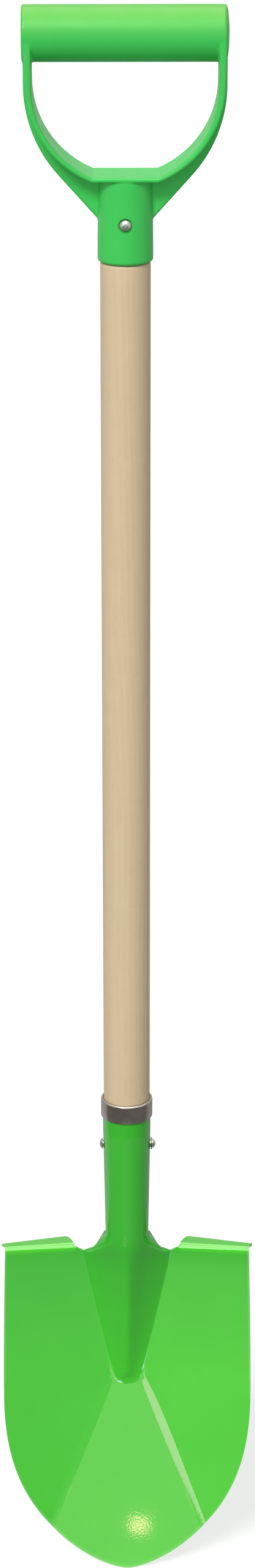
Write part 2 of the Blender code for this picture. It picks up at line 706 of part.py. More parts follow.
def make_rivet_washer(group):
    steel = make_material("washer_steel", (0.520, 0.510, 0.500), 0.35, 1.0)
    hole = RIVET_SHANK_RADIUS + FIT_GAP
    profile = [(WASHER_RADIUS, WASHER_THICKNESS), (WASHER_RADIUS, 0.0),
               (hole, 0.0), (hole, WASHER_THICKNESS)]
    item = turned("rivet_washer", profile, group, steel, steps=SMALL_STEPS, closed=True)
    item.location = (socket_radius(RIVET_LEVEL) + FIT_GAP, 0.0, RIVET_LEVEL)
    item.rotation_euler = (0.0, math.pi / 2, 0.0)
    return item


def main():
    clear_scene()
    group = make_collection(OBJECT_NAME)
    cutters = make_collection("cutters")
    make_blade(group, cutters)
    make_ferrule(group)
    make_shaft(group, cutters)
    make_d_handle(group, cutters)
    make_plug(group)
    make_grip_screw(group, cutters)
    make_socket_rivet(group)
    make_rivet_washer(group)


main()
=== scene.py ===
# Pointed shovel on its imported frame: fine meshes, materials, studio light and camera.
# Metres, +Z up. The shaft's centre line is the Z axis and the blade's front faces -Y.
import math

import bmesh
import bpy
from mathutils import Matrix, Vector


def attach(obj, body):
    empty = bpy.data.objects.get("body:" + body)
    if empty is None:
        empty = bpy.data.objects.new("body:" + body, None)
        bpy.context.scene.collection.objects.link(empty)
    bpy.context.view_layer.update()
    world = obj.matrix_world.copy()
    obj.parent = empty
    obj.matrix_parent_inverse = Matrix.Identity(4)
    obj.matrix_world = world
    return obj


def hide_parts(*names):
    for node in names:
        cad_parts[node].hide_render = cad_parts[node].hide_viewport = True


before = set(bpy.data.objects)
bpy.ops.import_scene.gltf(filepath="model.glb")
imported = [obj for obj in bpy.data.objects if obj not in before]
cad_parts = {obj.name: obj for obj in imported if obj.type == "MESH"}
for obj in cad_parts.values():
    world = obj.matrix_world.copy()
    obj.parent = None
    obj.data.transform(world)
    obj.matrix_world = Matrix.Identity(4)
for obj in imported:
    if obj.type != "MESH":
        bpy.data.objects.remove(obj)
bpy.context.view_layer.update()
scene = bpy.context.scene

# Sizes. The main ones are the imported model's own.
GAP = 0.0003
SHEET = 0.0014
SHEET_EDGE_ROUND = 0.00035
BLADE_HEIGHT = 0.1926
BLADE_HALF_BELLY = 0.0680
BLADE_HALF_TOP = 0.0665
BELLY_HEIGHT = 0.1103
POINT_SIDE_POWER = 2.46
POINT_TIP_POWER = 1.54
PANEL_SET_BACK = 0.0089
PANEL_DISH = 0.12
PANEL_LIFT = 0.06
TIP_LIFT = 0.1033
FROG_NOSE_HEIGHT = 0.1200
FROG_NOSE_HALF = 0.0085
FROG_NOSE_LENGTH = 0.0083
FROG_NOSE_RISE = 0.0029
FROG_NOSE_FALL = 0.23
FROG_NOSE_FLOOR = 0.0010
FROG_ROUNDNESS = 0.35
FROG_RIDGE = 0.25
FROG_HOLLOW = 0.70
FROG_HOLLOW_LENGTH = 0.0300
FROG_LINE_POWER = 1.35
CREASE_FOOT_HALF = 0.0424
CREASE_HALF = 0.0004
CREASE_SETTLE = 0.0040
CREASE_MELT = 0.00028
FOLD_NOSE_HALF = 0.0014
FOLD_HALF = 0.0028
FOLD_SPREAD = 0.0100
FOLD_TAPER = 0.012
FOLD_TAPER_START = 0.0300
FOLD_FADE = 0.0030
FOLD_SOFT_SHARE = 0.06
DISH_SOFTNESS = 0.0060
NOTCH_HALF = 0.0240
NOTCH_SHOULDER = 0.0054
TREAD_BEND = 0.0030
TREAD_FLAT = 0.0062
TREAD_FLAT_SIDE = 0.0024
TREAD_SLANT = 0.0027
TREAD_FLARE = 0.0019
TREAD_CORNER = 0.0014
NECK_LENGTH = 0.0390
NECK_FLARE = 0.0135
NECK_RIM_SHARE = 0.80
NECK_RIM_QUICK = 0.46
NECK_RIM_LATE = 0.76
NECK_MELT = 0.0150
NECK_WRAP = math.radians(100.0)
NECK_LEVEL = BLADE_HEIGHT + 0.0219
SOCKET_NECK_RADIUS = 0.0117
SOCKET_MOUTH = BLADE_HEIGHT + 0.0924
SOCKET_STRAIGHT = 0.0135
SOCKET_MOUTH_RADIUS = 0.01275
SEAM_WIDTH = 0.0015
FERRULE_WALL = 0.0007
FERRULE_HEIGHT = 0.0104
FERRULE_OVERHANG = 0.0035
FERRULE_SHOULDER_ROUND = 0.0011
FERRULE_HEM_ROUND = 0.00035
FERRULE_LIP_ROUND = 0.0003
SHAFT_TOP_RADIUS = 0.0125
SHAFT_FOOT_RADIUS = 0.0123
SHAFT_SHOULDER_ROUND = 0.0015
TENON_GAP = 0.0004
TENON_CHAMFER = 0.0012
GRIP_TENON = 0.0377
SOCKET_TENON = 0.0560
SHAFT_FOOT = SOCKET_MOUTH + GAP
GRIP_MOUTH = SHAFT_FOOT + 0.4588 + GAP
GRIP_MOUTH_RADIUS = 0.01375
GRIP_NECK_RADIUS = 0.01345
GRIP_RIM_ROUND = 0.0012
GRIP_NECK_SINK = 0.0012
GRIP_SADDLE = GRIP_MOUTH + 0.0433
GRIP_BORE_RADIUS = 0.0108
GRIP_BORE_DEPTH = 0.0380
GRIP_BAR = GRIP_MOUTH + 0.1113
BAR_RADIUS = 0.01375
BAR_HALF = 0.0500
BAR_END = BAR_HALF - 0.00075
BAR_RIGHT_ROUND = 0.0013
BAR_LEFT_ROUND = 0.0006
STRAP_HALF_DEPTH = 0.0136
STRAP_ARM_THICKNESS = 0.0039
STRAP_SADDLE_THICKNESS = 0.0024
STRAP_EDGE_ROUND = 0.0009
OPENING_HALF = 0.0453
OPENING_BEND = 0.0481
OPENING_BEND_ANGLE = math.radians(63.5)
SADDLE_HALF = 0.0160
WEB_THICKNESS = 0.0040
WEB_PROUD = 0.00035
WEB_EDGE_ROUND = 0.0006
WEB_BEND = 0.0659
WEB_SLOPE = math.radians(48.2)
WEB_FOOT_HEIGHT = 0.0197
PLUG_RADIUS = 0.0122
PLUG_SEAT_DEPTH = 0.0005
PLUG_CROWN = 0.0013
PLUG_EDGE = 0.0004
PLUG_ROUND = 0.0003
PLUG_BORE_DEPTH = 0.0085
PLUG_SKIRT_RADIUS = 0.0104
PLUG_SKIRT = 0.0070
SCREW_LEVEL = GRIP_MOUTH + 0.0199
SCREW_SEAT_RADIUS = 0.0037
SCREW_SEAT_DEPTH = 0.0010
SCREW_HEAD_RADIUS = 0.0031
SCREW_HEAD_HEIGHT = 0.0021
SCREW_HOLE_RADIUS = 0.0018
SCREW_SHANK_RADIUS = 0.0015
SCREW_PLAIN = 0.0008
SCREW_SHANK = 0.0150
SCREW_THREAD_DEPTH = 0.00025
SCREW_THREAD_STEP = 0.0006
SCREW_SLOT = (0.0034, 0.0009, 0.0028)
SCREW_SLOT_NARROWING = 0.45
RIVET_LEVEL = SOCKET_MOUTH - 0.0245
RIVET_HEAD_RADIUS = 0.0031
RIVET_HEAD_HEIGHT = 0.0018
RIVET_SET_RADIUS = 0.0027
RIVET_SET_HEIGHT = 0.0017
RIVET_SHANK_RADIUS = 0.0020
RIVET_HOLE_RADIUS = 0.0023
WASHER_RADIUS = 0.0033
WASHER_THICKNESS = 0.0006

# The camera that was fitted to the photograph. Focal length and height are in its pixels.
PHOTO_HEIGHT = 2560.0
PHOTO_FOCAL = 6100.0
CAMERA_TILT = math.radians(21.0)
CAMERA_ROLL = math.radians(-0.082)
CAMERA_DISTANCE = 1.940
CAMERA_AIM = (0.00065, 0.0, 0.4679)

# Colours, linear. A pair holds the two ends of a piece's own variation.
PAN_GREENS = ((0.044, 0.550, 0.016), (0.052, 0.580, 0.019))
SOCKET_SHADE_GREENS = ((0.032, 0.445, 0.020), (0.038, 0.470, 0.022))
LIT_TREAD_GREEN = (0.082, 0.670, 0.022)
SPECK_GREEN = (0.020, 0.300, 0.004)
PAINTED_HIGHLIGHT_GREEN = (0.34, 0.90, 0.58)
RIM_THIN_PAINT_AND_HIGHLIGHT_GREEN = (0.20, 0.66, 0.14)
PLASTIC_GREENS = ((0.036, 0.522, 0.079), (0.042, 0.553, 0.087))
BAR_TOP_SHEEN_GREEN = (0.078, 0.425, 0.042)
GROWTH_WOODS = ((0.620, 0.487, 0.303), (0.644, 0.506, 0.318))
STREAK_WOOD = (0.570, 0.440, 0.268)
FIBRE_WOOD = (0.545, 0.416, 0.256)
MOTTLE_WOOD = (0.680, 0.550, 0.360)
PORE_WOOD = (0.370, 0.250, 0.140)
FERRULE_STEELS = ((0.300, 0.268, 0.238), (0.240, 0.210, 0.182))
SCREW_STEELS = ((0.31, 0.34, 0.30), (0.20, 0.23, 0.20))
RIVET_STEELS = ((0.44, 0.44, 0.42), (0.26, 0.26, 0.24))
COLLAR_STEELS = ((0.10, 0.13, 0.09), (0.06, 0.08, 0.05))
WHITE = (1.0, 1.0, 1.0)

# Light levels. 1 renders a colour as it is written. The sides, front and back are for diffuse
# light, and the rest of the room is for reflections.
ROOM_SIDES = 0.16
ROOM_FRONT = 0.80
ROOM_BACK = 0.80
ROOM_BELOW = 0.42
ROOM_LEVEL = 1.05
ROOM_AHEAD = 0.70
ROOM_ABOVE = 0.50
KEY_LIGHT = 0.62
KEY_SIDE = math.radians(24.0)
KEY_RISE = math.radians(42.0)
KEY_SPREAD = math.radians(18.0)
FLOOR_TONE = 0.43
FLOOR_LIFT = 0.70
FLOOR_DROP = 0.0004


# Node helpers for the materials.

RAMP_KEYS = ("From Min", "From Max", "To Min", "To Max")


class Nodes:
    """A material's node tree, with short ways to add the nodes used here."""

    def __init__(self, name, metallic=0.0):
        self.material = bpy.data.materials.new(name)
        self.material.use_nodes = True
        self.tree = self.material.node_tree
        self.shader = self.tree.nodes["Principled BSDF"]
        self.shader.inputs["Metallic"].default_value = metallic
        self.place = self.add("ShaderNodeTexCoord").outputs["Object"]

    def add(self, kind, **settings):
        node = self.tree.nodes.new(kind)
        for key, value in settings.items():
            setattr(node, key, value)
        return node

    def link(self, source, target):
        self.tree.links.new(source, target)

    def stretched(self, scale):
        node = self.add("ShaderNodeMapping")
        node.inputs["Scale"].default_value = scale
        self.link(self.place, node.inputs["Vector"])
        return node.outputs["Vector"]

    def noise(self, scale, detail, vector=None, roughness=0.5):
        node = self.add("ShaderNodeTexNoise")
        node.inputs["Scale"].default_value = scale
        node.inputs["Detail"].default_value = detail
        node.inputs["Roughness"].default_value = roughness
        self.link(vector or self.place, node.inputs["Vector"])
        return node.outputs["Fac"]

    def ramp(self, value, low, high, out_low=0.0, out_high=1.0):
        node = self.add("ShaderNodeMapRange", clamp=True)
        for key, number in zip(RAMP_KEYS, (low, high, out_low, out_high)):
            node.inputs[key].default_value = number
        self.link(value, node.inputs["Value"])
        return node.outputs["Result"]

    def math(self, operation, a, b=None):
        node = self.add("ShaderNodeMath", operation=operation)
        for socket, value in zip(node.inputs, (a, b)):
            if isinstance(value, (int, float)):
                socket.default_value = value
            elif value is not None:
                self.link(value, socket)
        return node.outputs["Value"]

    def mix(self, factor, a, b):
        node = self.add("ShaderNodeMix", data_type="RGBA")
        for key, value in (("Factor", factor), ("A", a), ("B", b)):
            socket = node.inputs[key]
            if isinstance(value, tuple):
                socket.default_value = (*value, 1.0)
            elif isinstance(value, (int, float)):
                socket.default_value = value
            else:
                self.link(value, socket)
        return node.outputs["Result"]

    def attribute(self, name):
        return self.add("ShaderNodeAttribute", attribute_name=name).outputs["Fac"]

    def colour(self, source):
        self.link(source, self.shader.inputs["Base Color"])

    def rough(self, source):
        self.link(source, self.shader.inputs["Roughness"])

    def bump(self, *layers):
        """Layers of (height socket, depth in metres), added up."""
        normal = None
        for height, depth in layers:
            node = self.add("ShaderNodeBump")
            node.inputs["Strength"].default_value = 1.0
            node.inputs["Distance"].default_value = depth
            self.link(height, node.inputs["Height"])
            if normal is not None:
                self.link(normal, node.inputs["Normal"])
            normal = node.outputs["Normal"]
        self.link(normal, self.shader.inputs["Normal"])


def paint_material():
    """Glossy green enamel: orange peel, faint clouds and specks, painted shade up the socket,
    painted light that makes the treads paler, thin paint and a painted edge highlight on the
    sheet's edges, and a painted highlight at the crease and the nose."""
    n = Nodes("blade_enamel")
    cloud = n.ramp(n.noise(22.0, 3.0), 0.3, 0.7)
    split = n.add("ShaderNodeSeparateXYZ")
    n.link(n.place, split.inputs["Vector"])
    # Painted shade: the enamel is painted darker up the socket, from the pan's greens to the
    # socket's.
    pan = n.mix(cloud, *PAN_GREENS)
    tube = n.mix(cloud, *SOCKET_SHADE_GREENS)
    green = n.mix(n.ramp(split.outputs["Z"], 0.120, 0.200), pan, tube)
    peel = n.noise(1050.0, 0.0)
    fine = n.noise(2600.0, 1.0)
    # Painted light: the treads' tops, which face up to the light, painted paler.
    aside = n.ramp(n.math("ABSOLUTE", split.outputs["X"]), 0.026, 0.030)
    lit_tread_mask = n.math("MULTIPLY", aside, n.ramp(split.outputs["Z"], 0.1920, 0.1955))
    green = n.mix(lit_tread_mask, green, LIT_TREAD_GREEN)
    speck = n.ramp(n.noise(900.0, 1.0), 0.74, 0.80)
    green = n.mix(n.math("MULTIPLY", speck, 0.10), green, SPECK_GREEN)
    # Thin paint and a painted edge highlight: the sheet's edges painted pale.
    rim = n.math("MULTIPLY", n.ramp(n.attribute("rim"), 0.2, 1.0), 0.55)
    # Painted highlight: the crease and the nose's arc painted a bright mint green.
    green = n.mix(n.ramp(n.attribute("painted_highlight"), 0.25, 0.9), green, PAINTED_HIGHLIGHT_GREEN)
    n.colour(n.mix(rim, green, RIM_THIN_PAINT_AND_HIGHLIGHT_GREEN))
    n.rough(n.ramp(n.noise(60.0, 3.0), 0.3, 0.7, 0.035, 0.05))
    n.bump((peel, 0.0000046), (fine, 0.0000004))
    return n.material


def plastic_material(name):
    """Moulded green plastic: fine grain, soft flow clouds, and a painted sheen that turns the top
    of the bar a yellower green.
    """
    n = Nodes(name)
    cloud = n.noise(35.0, 3.0)
    split = n.add("ShaderNodeSeparateXYZ")
    n.link(n.place, split.inputs["Vector"])
    green = n.mix(n.ramp(cloud, 0.3, 0.7), *PLASTIC_GREENS)
    # Painted sheen: the top of the bar painted a yellower, darker green where its highlight falls.
    bar_top_sheen = n.ramp(n.math("ADD", split.outputs["Z"], n.math("MULTIPLY", cloud, 0.002)),
                   GRIP_BAR - 0.001, GRIP_BAR + 0.012)
    n.colour(n.mix(bar_top_sheen, green, BAR_TOP_SHEEN_GREEN))
    n.rough(n.ramp(n.noise(120.0, 3.0), 0.3, 0.7, 0.40, 0.48))
    n.bump((n.noise(2200.0, 2.0), 0.000006), (n.noise(260.0, 2.0), 0.000010))
    n.shader.inputs["Specular IOR Level"].default_value = 0.35
    return n.material


def wood_material():
    """Sanded pale hardwood: growth lines along the shaft, fine fibres, soft mottling, short dark
    pores."""
    n = Nodes("shaft_ash")
    warp = n.noise(9.0, 3.0, n.stretched((1.0, 1.0, 0.35)))
    split = n.add("ShaderNodeSeparateXYZ")
    n.link(n.place, split.inputs["Vector"])
    across = n.math("ADD", n.math("MULTIPLY", split.outputs["X"], 0.86),
                    n.math("MULTIPLY", split.outputs["Y"], 0.51))
    drift = n.math("MULTIPLY", split.outputs["Z"], 0.012)
    bent = n.math("ADD", n.math("ADD", across, drift), n.math("MULTIPLY", warp, 0.016))
    rings = n.math("SINE", n.math("MULTIPLY", bent, 2300.0))
    growth = n.ramp(rings, -1.0, 1.0)
    fibre = n.noise(1.0, 4.0, n.stretched((1500.0, 1500.0, 28.0)), 0.6)
    streak = n.noise(1.0, 3.0, n.stretched((260.0, 260.0, 3.0)))
    pores = n.ramp(n.noise(1.0, 1.0, n.stretched((2100.0, 2100.0, 190.0))), 0.70, 0.78)
    mottle = n.noise(120.0, 5.0, roughness=0.65)
    base = n.mix(growth, *GROWTH_WOODS)
    base = n.mix(n.ramp(streak, 0.30, 0.70, 0.0, 0.18), base, STREAK_WOOD)
    base = n.mix(n.ramp(fibre, 0.25, 0.75, 0.0, 0.20), base, FIBRE_WOOD)
    base = n.mix(n.ramp(mottle, 0.35, 0.65, 0.0, 0.30), base, MOTTLE_WOOD)
    base = n.mix(n.math("MULTIPLY", pores, 0.30), base, PORE_WOOD)
    n.colour(base)
    n.rough(n.ramp(fibre, 0.2, 0.8, 0.48, 0.66))
    n.bump((fibre, 0.000030), (pores, -0.000030), (growth, 0.000010))
    return n.material


def steel_material(name, tones, smooth, dull, line_scale):
    """Bare steel: drawn lines, smudges and faint stains. Its roughness runs from smooth to dull."""
    n = Nodes(name, metallic=1.0)
    lines = n.noise(1.0, 3.0, n.stretched(line_scale))
    smudge = n.noise(140.0, 4.0)
    n.colour(n.mix(n.ramp(smudge, 0.35, 0.70), *tones))
    wear = n.math("ADD", n.math("MULTIPLY", lines, 0.5), n.math("MULTIPLY", smudge, 0.5))
    n.rough(n.ramp(wear, 0.3, 0.7, smooth, dull))
    n.bump((lines, 0.000003))
    return n.material


# Shape helpers.

def lerp(a, b, t):
    return a + (b - a) * t


def smooth_step(t):
    return t * t * (3.0 - 2.0 * t)


def soft_max(a, b, width):
    return (a + b + math.hypot(a - b, width)) / 2


def soft_min(a, b, width):
    return (a + b - math.hypot(a - b, width)) / 2


def arc(centre, radius, start, end, steps):
    """Points on an arc about centre, angles in radians from the first axis."""
    points = []
    for i in range(steps + 1):
        angle = start + (end - start) * i / steps
        points.append((centre[0] + radius * math.cos(angle), centre[1] + radius * math.sin(angle)))
    return points


def add_object(name, mesh):
    item = bpy.data.objects.new(name, mesh)
    scene.collection.objects.link(item)
    return item


def from_shape(name, shape):
    mesh = bpy.data.meshes.new(name)
    shape.to_mesh(mesh)
    shape.free()
    return add_object(name, mesh)


def bake(item):
    """The object with its modifiers and its place taken into the mesh."""
    bpy.context.view_layer.update()
    graph = bpy.context.evaluated_depsgraph_get()
    mesh = bpy.data.meshes.new_from_object(item.evaluated_get(graph))
    mesh.transform(item.matrix_world)
    item.modifiers.clear()
    item.data = mesh
    item.matrix_world = Matrix.Identity(4)
    return mesh


def freeze(item, sharp=math.radians(38.0)):
    """The object baked and shaded smooth, sharp where its faces turn by more than an angle."""
    mesh = bake(item)
    mesh.shade_smooth()
    mesh.set_sharp_from_angle(angle=sharp)
    return item


def boolean(item, other, operation):
    """Joins item with other, or cuts it by other, which is then gone."""
    modifier = item.modifiers.new(operation, "BOOLEAN")
    modifier.operation = operation
    modifier.object = other
    modifier.solver = "EXACT"
    freeze(item)
    bpy.data.objects.remove(other, do_unlink=True)


def turned(name, profile, steps, closed=False):
    """Turn (radius, height) points about Z. The outer side runs from top to bottom."""
    shape = bmesh.new()
    points = [shape.verts.new((radius, 0.0, height)) for radius, height in profile]
    edges = [shape.edges.new(pair) for pair in zip(points, points[1:])]
    if closed:
        edges.append(shape.edges.new((points[-1], points[0])))
    bmesh.ops.spin(shape, geom=points + edges, cent=(0, 0, 0), axis=(0, 0, 1), angle=math.tau,
                   steps=steps, use_merge=True)
    bmesh.ops.remove_doubles(shape, verts=shape.verts, dist=0.000002)
    bmesh.ops.recalc_face_normals(shape, faces=shape.faces)
    return from_shape(name, shape)


def rod(name, radius, start, end, steps):
    shape = bmesh.new()
    start = Vector(start)
    end = Vector(end)
    bmesh.ops.create_cone(shape, cap_ends=True, segments=steps, radius1=radius, radius2=radius,
                          depth=(end - start).length)
    item = from_shape(name, shape)
    item.location = (start + end) / 2
    item.rotation_euler = (end - start).to_track_quat("Z", "Y").to_euler()
    return item


def plate(name, outline, thickness, edge):
    """A plate in the XZ plane from a closed (x, z) outline, centred on Y = 0, edges rounded."""
    shape = bmesh.new()
    half = thickness / 2
    front = [shape.verts.new((x, -half, z)) for x, z in outline]
    back = [shape.verts.new((x, half, z)) for x, z in outline]
    shape.faces.new(front)
    shape.faces.new(back[::-1])
    count = len(outline)
    for i in range(count):
        j = (i + 1) % count
        shape.faces.new((front[i], front[j], back[j], back[i]))
    bmesh.ops.recalc_face_normals(shape, faces=shape.faces)
    item = from_shape(name, shape)
    bevel = item.modifiers.new("Round", "BEVEL")
    bevel.width = edge
    bevel.segments = 4
    bevel.limit_method = "ANGLE"
    bevel.angle_limit = math.radians(50.0)
    return freeze(item)


def finish_piece(item, material, slot, *nodes):
    item.data.materials.clear()
    item.data.materials.append(material)
    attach(item, "root")
    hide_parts(*nodes)


# Blade sheet, as a function of the place on its front view.

def side_half_width(z):
    t = max(0.0, (z - BELLY_HEIGHT) / (BLADE_HEIGHT - BELLY_HEIGHT))
    return lerp(BLADE_HALF_BELLY, BLADE_HALF_TOP, t ** 1.5)


def outline_foot(x):
    share = min(1.0, x / BLADE_HALF_BELLY)
    return BELLY_HEIGHT * (1.0 - (1.0 - share ** POINT_TIP_POWER) ** (1.0 / POINT_SIDE_POWER))


def panel_y(x, z):
    lift = PANEL_LIFT * (BLADE_HEIGHT - z)
    return PANEL_SET_BACK - PANEL_DISH * math.hypot(x, DISH_SOFTNESS) - lift


def fold_half(z):
    """Half the width of the narrow flat along each fold between the side and lower panels."""
    below = FROG_NOSE_HEIGHT - FROG_NOSE_LENGTH / 2 - z
    if below < 0.0:
        return FOLD_NOSE_HALF * max(0.1, 1.0 + below / FOLD_FADE)
    wide = lerp(FOLD_HALF, FOLD_NOSE_HALF, math.exp(-below / FOLD_SPREAD))
    return wide - FOLD_TAPER * max(0.0, below - FOLD_TAPER_START)


def fold_x(z):
    """Where the side panel meets the lower panel at a height."""
    below = max(0.0, FROG_NOSE_HEIGHT - FROG_NOSE_LENGTH / 2 - z)
    spread = (TIP_LIFT - PANEL_LIFT) / PANEL_DISH
    reach = math.hypot(FROG_NOSE_HALF, DISH_SOFTNESS) + spread * below
    return math.sqrt(reach * reach - DISH_SOFTNESS * DISH_SOFTNESS)


def dish_y(x, z):
    """The pan without the frog, its two folds cut flat."""
    fold = FROG_NOSE_HEIGHT - FROG_NOSE_LENGTH / 2
    lower = panel_y(FROG_NOSE_HALF, fold) - TIP_LIFT * (fold - z)
    side = panel_y(x, z)
    half = fold_half(z)
    facet = (side + lower) / 2 - PANEL_DISH / 2 * half
    soft = PANEL_DISH * half * FOLD_SOFT_SHARE
    return soft_min(soft_min(side, lower, soft), facet, soft)


def frog_rise(z):
    """0 at the height of the frog's nose, 1 at the blade's top."""
    return (z - FROG_NOSE_HEIGHT) / (BLADE_HEIGHT - FROG_NOSE_HEIGHT)


def frog_half_width(z):
    return lerp(FROG_NOSE_HALF, NOTCH_HALF, frog_rise(z))


def socket_radius(z):
    t = (z - NECK_LEVEL) / (SOCKET_MOUTH - SOCKET_STRAIGHT - NECK_LEVEL)
    return lerp(SOCKET_NECK_RADIUS, SOCKET_MOUTH_RADIUS, min(1.0, t))


def frog_line_y(z):
    front = SHEET / 2 - socket_radius(NECK_LEVEL)
    nose = dish_y(0.0, FROG_NOSE_HEIGHT) - FROG_NOSE_RISE
    t = (NECK_LEVEL - z) / (NECK_LEVEL - FROG_NOSE_HEIGHT)
    return front + (nose - front) * max(0.0, t) ** FROG_LINE_POWER


def frog_profile(share, z):
    """Height of the frog's section, 1 on the ridge, 0 at the crease and below 0 beyond it. Its
    flanks are domed at the neck and a little hollow lower down."""
    q = FROG_ROUNDNESS
    domed = 1.0 - (math.hypot(share, q) - q) / (math.hypot(1.0, q) - q)
    hollow = 1.0 - math.log1p((share / FROG_RIDGE) ** 2) / math.log1p(1.0 / FROG_RIDGE ** 2)
    below = min(1.0, max(0.0, (NECK_LEVEL - z) / FROG_HOLLOW_LENGTH))
    return lerp(domed, hollow, FROG_HOLLOW * smooth_step(below))


def blade_y(x, z):
    if z >= FROG_NOSE_HEIGHT:
        rise = dish_y(0.0, z) - frog_line_y(z)
        share = abs(x) / frog_half_width(z)
    else:
        below = FROG_NOSE_HEIGHT - z
        falling = FROG_NOSE_RISE - FROG_NOSE_FLOOR
        rise = FROG_NOSE_FLOOR + falling * math.exp(-FROG_NOSE_FALL / falling * below)
        share = math.hypot(x / max(0.001, frog_half_width(z)), below / FROG_NOSE_LENGTH)
    return dish_y(x, z) - soft_max(rise * frog_profile(share, z), 0.0, CREASE_MELT)


def fold_edge(offset, z):
    """A line beside the fold, offset from it by so many of its half widths."""
    return fold_x(z) + offset * max(fold_half(z), FOLD_NOSE_HALF)


def fold_foot(offset):
    """Where that line meets the blade's lower edge."""
    x = CREASE_FOOT_HALF
    for _ in range(16):
        x = fold_edge(offset, outline_foot(x))
    return x


def blade_point(share, offset, foot, level):
    """A place on the blade. share runs from 0 in the middle, over 1 at the creases and folds, to 2
    at the side. The columns at share 1 are offset by so many half widths of the fold, and foot is
    fold_foot there. level runs from 0 at the lower edge, over 1 at the nose, to 2 at the top."""
    pull = min(share, 2.0 - share)

    def across(z):
        inner = frog_half_width(z)
        return inner * share if share <= 1.0 else lerp(inner, side_half_width(z), share - 1.0)

    if level >= 1.0:
        z = lerp(FROG_NOSE_HEIGHT, BLADE_HEIGHT, level - 1.0)
        above = min(1.0, (z - FROG_NOSE_HEIGHT) / CREASE_SETTLE)
        x = across(z) + offset * pull * lerp(FOLD_NOSE_HALF, CREASE_HALF, above)
    else:
        t = 1.0 - (1.0 - level) ** 1.5
        foot_x = foot * share
        if share > 1.0:
            foot_x = lerp(foot, BLADE_HALF_BELLY, math.sin((share - 1.0) * math.pi / 2))
        z = lerp(outline_foot(foot_x), FROG_NOSE_HEIGHT, t)
        x = lerp(foot_x, across(FROG_NOSE_HEIGHT) + offset * pull * FOLD_NOSE_HALF, t)
        fold_z = lerp(outline_foot(foot), FROG_NOSE_HEIGHT, t)
        x += (fold_edge(offset, fold_z) - lerp(foot, fold_edge(offset, FROG_NOSE_HEIGHT), t)) * pull
    return x, blade_y(x, z), z


def neck_closing(rise, share):
    melt = min(1.0, rise / NECK_MELT)
    flare = min(1.0, rise / NECK_FLARE)
    inside = smooth_step(melt)
    quick = 1.0 - (1.0 - min(1.0, flare / NECK_RIM_QUICK)) ** 2
    late = smooth_step(max(0.0, (flare - NECK_RIM_LATE) / (1.0 - NECK_RIM_LATE)))
    edge = lerp(late, quick, NECK_RIM_SHARE)
    return lerp(inside, edge, share ** 6)


def neck_column(share, neck_rows, tube_rows):
    points = []
    for i in range(1, neck_rows + tube_rows + 1):
        t = min(1.0, (i / neck_rows) ** 2)
        z = BLADE_HEIGHT + NECK_LENGTH * t
        if i > neck_rows:
            z = lerp(BLADE_HEIGHT + NECK_LENGTH, SOCKET_MOUTH, (i - neck_rows) / tube_rows)
        radius = socket_radius(z) - SHEET / 2
        angle = share * lerp(NECK_WRAP, math.pi - SEAM_WIDTH / 2 / radius, t)
        open_x = share * frog_half_width(min(z, NECK_LEVEL))
        open_y = blade_y(open_x, min(z, NECK_LEVEL))
        closing = neck_closing(z - BLADE_HEIGHT, share)
        points.append((lerp(open_x, radius * math.sin(angle), closing),
                       lerp(open_y, -radius * math.cos(angle), closing), z))
    return points


def tread_column(share, bend_rows, flat_rows):
    """Over the bend and back along the tread, share 0 at the notch to 1 at the side."""
    top_x = lerp(NOTCH_HALF, BLADE_HALF_TOP, share)
    top_y = blade_y(top_x, BLADE_HEIGHT)
    points = []
    for i in range(1, bend_rows + flat_rows + 1):
        turn = min(1.0, i / bend_rows)
        angle = turn * math.pi / 2
        flat = max(0.0, (i - bend_rows) / flat_rows)
        inner = NOTCH_HALF + NOTCH_SHOULDER * (1.0 - (1.0 - turn) ** 2) + TREAD_SLANT * flat
        corner = max(0.0, flat * 1.6 - 0.6)
        inner += TREAD_CORNER * (1.0 - math.sqrt(1.0 - corner * corner))
        reach = turn / 3 + flat * 2 / 3
        outer = BLADE_HALF_TOP + TREAD_FLARE * reach ** 2
        back = TREAD_BEND * (1.0 - math.cos(angle))
        back += flat * lerp(TREAD_FLAT, TREAD_FLAT_SIDE, share)
        up = TREAD_BEND * math.sin(angle)
        points.append((lerp(inner, outer, share), top_y + back, BLADE_HEIGHT + up))
    return points


def fill_strip(shape, left, right):
    for i in range(len(left) - 1):
        shape.faces.new((left[i], right[i], right[i + 1], left[i + 1]))


def crease_painted_highlight(rise):
    """Painted highlight on the right crease: it tapers up from the nose, with a patch at the top.
    """
    low = 1.0 - abs(rise - 0.02) / (0.44 if rise > 0.02 else 0.05)
    high = 1.0 - abs(rise - 0.97) / 0.10
    return max(0.0, low, high)


def nose_painted_highlight(x, z):
    """Painted highlight in an arc round the nose's lower left."""
    below = FROG_NOSE_HEIGHT - z
    if below <= 0.0 or x >= 0.0:
        return 0.0
    ring = math.hypot(x / FROG_NOSE_HALF, below / FROG_NOSE_LENGTH)
    reach = 0.0040
    ends = max(0.0, 1.0 - abs(x + reach) / reach)
    return max(0.0, 1.0 - abs(ring - 1.0) / 0.10) * ends ** 0.4


def rivet_drill(reach):
    left = (-reach, 0.0, RIVET_LEVEL)
    right = (reach, 0.0, RIVET_LEVEL)
    return rod("rivet_hole", RIVET_HOLE_RADIUS, left, right, 32)


